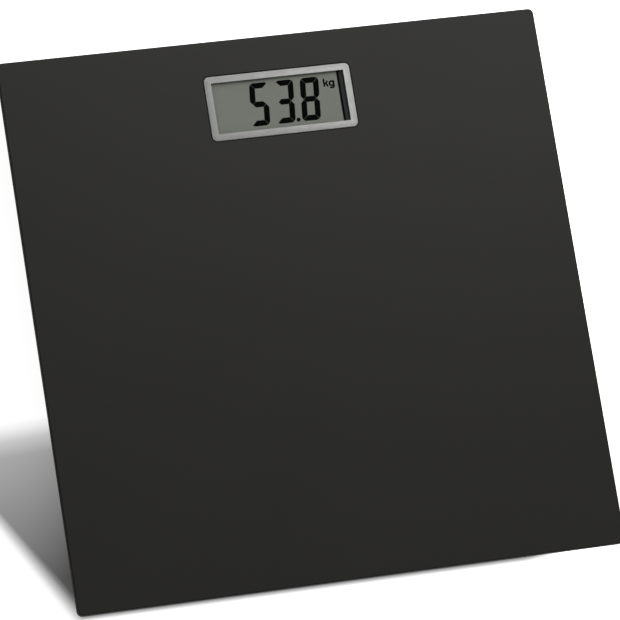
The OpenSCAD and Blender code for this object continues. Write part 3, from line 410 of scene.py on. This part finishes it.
def solder():
    """Bright solder, a little uneven."""
    look = Look("solder", (0.72, 0.73, 0.75), 0.25, {"Metallic": 1.0})
    waves = look.noise(0.5 * MM, 3.0)
    look.set("Roughness", look.span(waves, 0.18, 0.35))
    look.relief(waves, 0.03 * MM)
    return look.material


def foam_tape():
    """Double-sided foam tape, with its cells at the cut edge."""
    look = Look("foam_tape", (0.72, 0.72, 0.69), 0.85, {"Specular IOR Level": 0.2})
    foam = look.cells(0.25 * MM)
    look.set("Base Color", look.blend(foam, (0.66, 0.66, 0.63), (0.78, 0.78, 0.75)))
    look.relief(foam, 0.03 * MM)
    return look.material


def insulation(name, color):
    """The skin of a lead, with faint die lines."""
    look = Look(name, color, 0.4)
    lines = look.noise(0.12 * MM, 2.0)
    look.set("Base Color", look.blend(lines, shade_of(color, 0.8), color))
    look.set("Roughness", look.span(lines, 0.34, 0.48))
    look.relief(lines, 0.006 * MM)
    return look.material


def looks():
    """One material for each of the record's material slots."""
    fine = 0.004 * MM
    bar_color = (0.0105, 0.0105, 0.0125)
    return {
        "black_glass": black_glass(),
        "silver_plastic": silver_paint(),
        "clear_lens": clear_lens(),
        "polarizer": display_film(),
        "lcd_glass": thin_glass(),
        "reflector": reflector_film(),
        "dark_plastic": moulded("dark_plastic", bar_color, 0.5, depth=2 * fine, gloss=0.15),
        "zebra": rubber("zebra", (0.6, 0.22, 0.26), 0.5),
        "board": solder_mask(),
        "resin": resin(),
        "resistor": chip_body("resistor", (0.012, 0.012, 0.012), (0.03, 0.03, 0.03)),
        "capacitor": chip_body("capacitor", (0.42, 0.30, 0.17), (0.50, 0.38, 0.24)),
        "solder": solder(),
        "switch_black": moulded("switch_black", (0.018, 0.018, 0.020), 0.4, depth=fine),
        "plunger": moulded("plunger", (0.62, 0.60, 0.54), 0.45, depth=fine),
        "button_grey": moulded("button_grey", (0.075, 0.075, 0.080), 0.5),
        "contact": sheet_steel("contact", (0.54, 0.51, 0.45), 0.3),
        "coin_steel": sheet_steel("coin_steel", (0.48, 0.48, 0.47), 0.32, (1.0, 0.05, 1.0)),
        "black_abs": moulded("black_abs", (0.021, 0.021, 0.022), 0.52),
        "screw_steel": screw_steel(),
        "tape": foam_tape(),
        "spring_steel": sheet_steel("spring_steel", (0.50, 0.51, 0.52), 0.32),
        "sealant": rubber("sealant", (0.80, 0.80, 0.77), 0.45),
        "foot_abs": moulded("foot_abs", (0.023, 0.023, 0.024), 0.48),
        "pad_rubber": rubber("pad_rubber", (0.014, 0.014, 0.014)),
        "lead_red": insulation("lead_red", (0.50, 0.015, 0.015)),
        "lead_white": insulation("lead_white", (0.80, 0.80, 0.78)),
        "lead_black": insulation("lead_black", (0.010, 0.010, 0.010)),
    }


def dress(piece, material):
    """Gives a piece that one material."""
    piece.data.materials.clear()
    piece.data.materials.append(material)


# ---- Mesh helpers ----


def add_piece(name, points, faces, material, slot, sharp=35.0):
    """A mesh that rides on the platform, smooth except at edges sharper than that angle."""
    mesh = bpy.data.meshes.new(name)
    mesh.from_pydata(points, [], faces)
    mesh.validate()
    mesh.shade_smooth()
    mesh.set_sharp_from_angle(angle=math.radians(sharp))
    piece = bpy.data.objects.new(name, mesh)
    scene.collection.objects.link(piece)
    even = piece.modifiers.new("even_shading", "WEIGHTED_NORMAL")
    even.weight = 100
    even.keep_sharp = True
    dress(piece, material)
    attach(piece, "platform")
    return piece


def ring(centre, half_w, half_h, corner, z):
    """A loop round a rectangle with round corners, anticlockwise from its right side."""
    points = []
    for quarter, (sx, sy) in enumerate([(1, 1), (-1, 1), (-1, -1), (1, -1)]):
        for step in range(CORNER_STEPS + 1):
            angle = math.radians(90 * (quarter + step / CORNER_STEPS))
            points.append((
                centre[0] + sx * (half_w - corner) + corner * math.cos(angle),
                centre[1] + sy * (half_h - corner) + corner * math.sin(angle),
                z,
            ))
    return points


def loft(rings):
    """Points and faces of the skin through loops of equal length, the last joined to the first."""
    count = len(rings[0])
    points = [point for loop in rings for point in loop]
    faces = []
    for i in range(len(rings)):
        low, high = i * count, (i + 1) % len(rings) * count
        for j in range(count):
            k = (j + 1) % count
            faces.append((low + j, low + k, high + k, high + j))
    return points, faces


def rounding(radius, steps=6):
    """Steps round a quarter circle: how far in, and how far below the top."""
    angles = [math.radians(90 * i / steps) for i in range(steps + 1)]
    return [(radius * (1 - math.cos(a)), radius * (1 - math.sin(a))) for a in angles]


# ---- Pieces ----

bezel_low, bezel_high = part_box("display_bezel")
DISPLAY = ((bezel_low.x + bezel_high.x) / 2, (bezel_low.y + bezel_high.y) / 2)
BEZEL_HALF_W = (bezel_high.x - bezel_low.x) / 2 - BEZEL_FLANGE
BEZEL_HALF_H = (bezel_high.y - bezel_low.y) / 2 - BEZEL_FLANGE


def glass_plate(material, edge_material):
    """The plate, with its ground edges softly rounded outside and round the cut-out."""
    low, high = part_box("glass_platform")
    half = (high.x - low.x) / 2
    hole_w = BEZEL_HALF_W + CUTOUT_GAP
    hole_h = BEZEL_HALF_H + CUTOUT_GAP
    hole_r = BEZEL_CORNER + CUTOUT_GAP

    def outer(inset, z):
        return ring((0, 0), half - inset, half - inset, GLASS_CORNER - inset, z)

    def inner(inset, z):
        return ring(DISPLAY, hole_w + inset, hole_h + inset, hole_r + inset, z)

    outer_edge = rounding(GLASS_ARRIS)
    inner_edge = rounding(CUTOUT_ARRIS, 3)
    rings = [outer(inset, low.z + drop) for inset, drop in reversed(outer_edge)]
    rings += [outer(inset, high.z - drop) for inset, drop in outer_edge]
    rings += [inner(inset, high.z - drop) for inset, drop in reversed(inner_edge)]
    rings += [inner(inset, low.z + drop) for inset, drop in inner_edge]
    piece = add_piece("glass_plate", *loft(rings), material, "black_glass")
    piece.data.materials.append(edge_material)
    least_flat = 0.9
    for face in piece.data.polygons:
        face.material_index = int(abs(face.normal.z) < least_flat)
    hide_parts("glass_platform")


def bezel_frame(material):
    """The silver frame: a crowned face with rounded edges, a wall through the glass and a flange."""
    low, high = bezel_low.z, bezel_high.z
    flange_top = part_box("glass_platform")[0].z
    lip_z = high - BEZEL_LIP
    inner_z = high - BEZEL_CROWN
    outer_z = inner_z - BEZEL_SLOPE
    window_w, window_h = BEZEL_HALF_W - BEZEL_FRAME, BEZEL_HALF_H - BEZEL_FRAME
    cavity_w, cavity_h = BEZEL_HALF_W - BEZEL_WALL, BEZEL_HALF_H - BEZEL_WALL
    flange_w, flange_h = BEZEL_HALF_W + BEZEL_FLANGE, BEZEL_HALF_H + BEZEL_FLANGE
    flange_r = BEZEL_CORNER + BEZEL_FLANGE

    def loop(grow, corner, z):
        return ring(DISPLAY, BEZEL_HALF_W + grow, BEZEL_HALF_H + grow, corner, z)

    rings = [
        ring(DISPLAY, cavity_w, cavity_h, WINDOW_CORNER, low),
        ring(DISPLAY, flange_w, flange_h, flange_r, low),
        ring(DISPLAY, flange_w, flange_h, flange_r, flange_top),
        loop(0.0, BEZEL_CORNER, flange_top),
    ]
    for inset, drop in rounding(BEZEL_ROUND):
        rings.append(loop(-inset, BEZEL_CORNER - inset, outer_z - drop))
    crown_steps = 6
    start, stop = BEZEL_ROUND, BEZEL_FRAME - WINDOW_ROUND
    for i in range(1, crown_steps):
        t = i / crown_steps
        inset = start + t * (stop - start)
        corner = (1 - t) * (BEZEL_CORNER - start) + t * (WINDOW_CORNER + WINDOW_ROUND)
        rise = BEZEL_SLOPE * t + BEZEL_CROWN * math.sin(math.pi * t)
        rings.append(loop(-inset, corner, outer_z + rise))
    for inset, drop in reversed(rounding(WINDOW_ROUND)):
        corner = WINDOW_CORNER + inset
        rings.append(ring(DISPLAY, window_w + inset, window_h + inset, corner, inner_z - drop))
    rings.append(ring(DISPLAY, window_w, window_h, WINDOW_CORNER, lip_z))
    rings.append(ring(DISPLAY, cavity_w, cavity_h, WINDOW_CORNER, lip_z))
    piece = add_piece("bezel_frame", *loft(rings), material, "silver_plastic")
    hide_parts("display_bezel")
    return piece


def arc(cx, cy, radius, first, last, steps=6):
    """Points on an arc between two angles in degrees."""
    angles = [math.radians(first + (last - first) * i / steps) for i in range(steps + 1)]
    return [(cx + radius * math.cos(a), cy + radius * math.sin(a)) for a in angles]


def digit_segments():
    """The outlines of a digit's seven segments by name, upright, from its lower left corner."""
    w, h, t, r, g = DIGIT_W, DIGIT_H, DIGIT_T, DIGIT_ROUND, DIGIT_GAP
    mid = h / 2
    waist = 0.62 * t
    top = [(x + g, y) for x, y in arc(r, h - r, r, 135, 90)]
    top += [(x - g, y) for x, y in arc(w - r, h - r, r, 90, 45)]
    top += [(w - t - g, h - t), (t + g, h - t)]
    upper_right = [(w, mid + waist)] + [(x, y - g) for x, y in arc(w - r, h - r, r, 0, 45)]
    upper_right += [(w - t, h - t - g), (w - t, mid + t / 2 + g), (w - t / 2, mid + g)]
    upper_left = [(w - x, y) for x, y in upper_right]
    bar = t / 2 + 2 * g
    middle = [
        (bar, mid), (t, mid + t / 2), (w - t, mid + t / 2),
        (w - bar, mid), (w - t, mid - t / 2), (t, mid - t / 2),
    ]
    shapes = {"top": top, "upper_left": upper_left, "upper_right": upper_right, "middle": middle}
    mirrored = {"bottom": top, "lower_left": upper_left, "lower_right": upper_right}
    for name, outline in mirrored.items():
        shapes[name] = [(x, h - y) for x, y in outline]
    return shapes


DIGIT_FORMS = {
    "5": ("top", "upper_left", "middle", "lower_right", "bottom"),
    "3": ("top", "upper_right", "middle", "lower_right", "bottom"),
    "8": ("top", "upper_left", "upper_right", "middle", "lower_left", "lower_right", "bottom"),
}


def signed_area(outline):
    """The area of an outline, negative if it runs clockwise."""
    following = outline[1:] + outline[:1]
    return sum(a[0] * b[1] - b[0] * a[1] for a, b in zip(outline, following)) / 2


def prisms(outlines, z0, z1):
    """Points and faces of upright prisms over outlines."""
    points, faces = [], []
    for outline in outlines:
        if signed_area(outline) < 0:
            outline = outline[::-1]
        base, count = len(points), len(outline)
        points += [(x, y, z0) for x, y in outline] + [(x, y, z1) for x, y in outline]
        faces.append(tuple(range(base + count - 1, base - 1, -1)))
        faces.append(tuple(range(base + count, base + 2 * count)))
        for i in range(count):
            j = (i + 1) % count
            faces.append((base + i, base + j, base + count + j, base + count + i))
    return points, faces


def display_digits(material, reading="538"):
    """The reading in slanted digits, with a point before the last."""
    film_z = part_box("lcd_front_polarizer")[1].z
    segments = digit_segments()
    bottom = DISPLAY[1] + DIGITS_Y - DIGIT_H / 2
    outlines = []

    def lay(outline, left):
        return [(left + x + y * DIGIT_SLANT, bottom + y) for x, y in outline]

    for i, digit in enumerate(reading):
        left = DISPLAY[0] + DIGITS_X - (len(reading) - 1 - i) * DIGIT_PITCH
        outlines += [lay(segments[name], left) for name in DIGIT_FORMS[digit]]
    centre = POINT_HALF - POINT_CORNER
    point = []
    for sx, sy, first in [(1, 1, 0), (-1, 1, 90), (-1, -1, 180), (1, -1, 270)]:
        point += arc(sx * centre, sy * centre, POINT_CORNER, first, first + 90, 3)
    raised = [(x, y + POINT_RISE) for x, y in point]
    outlines.append(lay(raised, DISPLAY[0] + DIGITS_X - POINT_BACK))
    add_piece("lcd_digits", *prisms(outlines, film_z, film_z + INK), material, "dark_plastic")


def band(path, width):
    """The outline of a line of that width, square at its ends and mitred at its turns."""
    sharpest = 0.5
    left, right = [], []
    for i, (x, y) in enumerate(path):
        ahead = Vector(path[min(i + 1, len(path) - 1)]) - Vector(path[min(i, len(path) - 2)])
        behind = Vector(path[max(i, 1)]) - Vector(path[max(i - 1, 0)])
        along = (ahead.normalized() + behind.normalized()).normalized()
        reach = width / 2 / max(sharpest, along.dot(ahead.normalized()))
        left.append((x - along.y * reach, y + along.x * reach))
        right.append((x + along.y * reach, y - along.x * reach))
    return left + right[::-1]


def letter_k(tall, wide):
    """The strokes of a k: its stem, its arm and its leg."""
    return [
        [(0, 0), (0, tall)],
        [(0.3 * wide, 0.32 * tall), (0.93 * wide, 0.7 * tall)],
        [(0.42 * wide, 0.42 * tall), (wide, 0)],
    ]


def letter_g(middle, radius):
    """The strokes of a g that stands at middle: its bowl, and its stem with the hook below."""
    bowl_y, stem_top = 1.55 * MM, 3.15 * MM
    hook_y, hook_drop = -0.1 * MM, 0.8 * MM
    bowl = arc(middle, bowl_y, radius, 20, 340, 20)
    hook = [(x, hook_y + y * hook_drop / radius) for x, y in arc(middle, 0, radius, 0, -155, 10)]
    return [bowl, [(middle + radius, stem_top)] + hook]


def unit_sign(material):
    """The unit beside the digits, in plain bold letters."""
    film_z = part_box("lcd_front_polarizer")[1].z
    left, foot = DISPLAY[0] + UNIT_AT[0], DISPLAY[1] + UNIT_AT[1]
    outlines = []
    for path in letter_k(4.5 * MM, 2.15 * MM) + letter_g(4.2 * MM, 1.18 * MM):
        outlines.append([(left + x, foot + y) for x, y in band(path, UNIT_STROKE)])
    add_piece("unit_sign", *prisms(outlines, film_z, film_z + INK), material, "dark_plastic")


def dress_nodes(materials):
    """Gives each CAD node that stays the material of its slot."""
    for part in frame["record"]["subparts"]:
        node = frame["nodes"][part["node"]]
        for slot in node.material_slots:
            slot.link = "OBJECT"
            slot.material = materials[part["material_slot"]]


# ---- Studio ----


def build_world():
    """A plain pale dome that lights the object, and white where it is seen."""
    world = bpy.data.worlds.new("studio")
    world.use_nodes = True
    scene.world = world
    nodes = Nodes(world.node_tree)
    light = world.node_tree.nodes["Background"]
    nodes.feed(light.inputs["Color"], WHITE)
    nodes.feed(light.inputs["Strength"], WORLD_LIGHT)
    white = nodes.node("Background", {"Color": WHITE})
    mix = nodes.node("MixShader", {0: nodes.seen_ray(), 1: light.outputs[0], 2: white.outputs[0]})
    nodes.feed(world.node_tree.nodes["World Output"].inputs["Surface"], mix.outputs[0])


def floor_glow(nodes, place):
    """How brightly the floor glows, by its place."""
    glow = 0.0
    for area in FLOOR_GLOWS:
        inputs = {0: place, 1: area["towards"]}
        along = nodes.node("VectorMath", inputs, operation="DOT_PRODUCT").outputs["Value"]
        ramp = nodes.node("ValToRGB", {"Fac": nodes.span(along, 0.0, 1.0, *area["span"])})
        stops = ramp.color_ramp.elements
        while len(stops) < len(area["strengths"]):
            stops.new(0.5)
        for stop, (at, level) in zip(stops, area["strengths"]):
            stop.position = at
            stop.color = (level, level, level, 1.0)
        glow = nodes.calc("MAXIMUM", glow, ramp.outputs["Color"])
    return glow


def open_floor(nodes, place):
    """0 where the camera sees the floor under the object, and 1 beside it and for other rays."""
    sides = nodes.node("VectorMath", {0: place}, operation="ABSOLUTE").outputs["Vector"]
    side = nodes.node("SeparateXYZ", {"Vector": sides}).outputs
    outwards = nodes.calc("MAXIMUM", side["X"], side["Y"])
    cover = [share * cad_bounds[1].x for share in FLOOR_COVER]
    covered = nodes.span(outwards, 1.0, 0.0, *cover, interpolation_type="SMOOTHSTEP")
    shaded = nodes.calc("MULTIPLY", covered, nodes.node("LightPath").outputs["Is Camera Ray"])
    return nodes.calc("SUBTRACT", 1.0, shaded)


def floor_material():
    """White floor that keeps the shadow under the object and in a wedge, with a painted glow over the
    rest of it; it fades into the white beyond and is clear from below.
    """
    material = bpy.data.materials.new("white_floor")
    material.use_nodes = True
    material.node_tree.nodes.clear()
    nodes = Nodes(material.node_tree)
    place = nodes.node("TexCoord").outputs["Object"]
    glow = nodes.calc("MULTIPLY", floor_glow(nodes, place), open_floor(nodes, place))
    glow = nodes.calc("MULTIPLY", glow, nodes.seen_ray())
    diffuse = nodes.node("BsdfDiffuse", {"Color": (FLOOR_COLOR, FLOOR_COLOR, FLOOR_COLOR, 1.0)})
    emission = nodes.node("Emission", {"Color": WHITE, "Strength": glow})
    lit = nodes.node("AddShader", {0: diffuse.outputs[0], 1: emission.outputs[0]})
    distance = nodes.node("VectorMath", {0: place}, operation="LENGTH").outputs["Value"]
    faded = nodes.span(distance, 0.0, 1.0, *FLOOR_FADE, interpolation_type="SMOOTHSTEP")
    hidden = nodes.calc("MAXIMUM", faded, nodes.node("NewGeometry").outputs["Backfacing"])
    clear = nodes.node("BsdfTransparent")
    mixed = nodes.node("MixShader", {0: hidden, 1: lit.outputs[0], 2: clear.outputs[0]})
    nodes.node("OutputMaterial", {"Surface": mixed.outputs[0]})
    return material


def build_floor():
    """A disc on which the pads stand."""
    mesh = bpy.data.meshes.new("floor")
    count = 96
    angles = [2 * math.pi * i / count for i in range(count)]
    points = [(FLOOR_RADIUS * math.cos(a), FLOOR_RADIUS * math.sin(a), 0.0) for a in angles]
    mesh.from_pydata(points, [], [tuple(range(count))])
    floor = bpy.data.objects.new("floor", mesh)
    scene.collection.objects.link(floor)
    floor.location.z = cad_bounds[0].z
    dress(floor, floor_material())
    return floor


def hang_lamp(lamp, at, target):
    """Hangs a lamp at a place and turns it to another."""
    holder = bpy.data.objects.new(lamp.name, lamp)
    scene.collection.objects.link(holder)
    holder.location = at
    holder.rotation_euler = (Vector(target) - Vector(at)).to_track_quat("-Z", "Y").to_euler()
    holder.visible_camera = False
    return holder


def disc_lamp(name, at, size, watts):
    """A round lamp that shines at the origin."""
    lamp = bpy.data.lights.new(name, "AREA")
    lamp.shape = "DISK"
    lamp.size = size
    lamp.energy = watts
    return hang_lamp(lamp, at, (0, 0, 0))


def link_to(name, piece, state):
    """A collection that limits a lamp to one piece, or keeps it off that piece."""
    reach = bpy.data.collections.new(name)
    reach.objects.link(piece)
    reach.collection_objects[0].light_linking.link_state = state
    return reach


def light_bezel(bezel):
    """A spot whose soft edge falls across the bezel and on nothing else."""
    lamp = bpy.data.lights.new("bezel_lamp", "SPOT")
    lamp.spot_size = SPOT_CONE
    lamp.spot_blend = 1.0
    lamp.shadow_soft_size = SPOT_SIZE
    lamp.energy = SPOT_WATTS
    spot = hang_lamp(lamp, SPOT_AT, SPOT_AIM)
    spot.light_linking.receiver_collection = link_to("bezel_only", bezel, "INCLUDE")


def build_lamps(floor):
    """A soft key from the display end, a low lamp that lays the object's shadow on the floor and
    a broad one under the floor for the underside.
    """
    object_only = link_to("all_but_floor", floor, "EXCLUDE")
    key = disc_lamp("key", KEY_AT, KEY_SIZE, KEY_WATTS)
    key.light_linking.receiver_collection = object_only
    low = disc_lamp("low", LOW_AT, LOW_SIZE, LOW_WATTS)
    low.light_linking.receiver_collection = link_to("floor_only", floor, "INCLUDE")
    below = disc_lamp("below", (0, 0, -BELOW_DEPTH), BELOW_SIZE, BELOW_WATTS)
    below.light_linking.receiver_collection = object_only
    below.light_linking.blocker_collection = object_only


def build_camera():
    """The camera, at the photograph's viewing angle."""
    data = bpy.data.cameras.new("camera")
    data.lens = LENS_MM
    data.sensor_width = SENSOR_MM
    camera = bpy.data.objects.new("camera", data)
    scene.collection.objects.link(camera)
    ahead = Vector(CAMERA_LOOKS).normalized()
    right = ahead.cross(Vector(CAMERA_UP)).normalized()
    up = right.cross(ahead)
    turn = Matrix((right, up, -ahead)).transposed()
    camera.matrix_world = Matrix.Translation(CAMERA_AT) @ turn.to_4x4()
    scene.camera = camera


def main():
    scene.view_settings.view_transform = "Standard"
    build_camera()
    build_world()
    build_lamps(build_floor())
    materials = looks()
    dress_nodes(materials)
    glass_plate(materials["black_glass"], ground_edge())
    light_bezel(bezel_frame(materials["silver_plastic"]))
    ink = segment_ink()
    display_digits(ink)
    unit_sign(ink)


main()
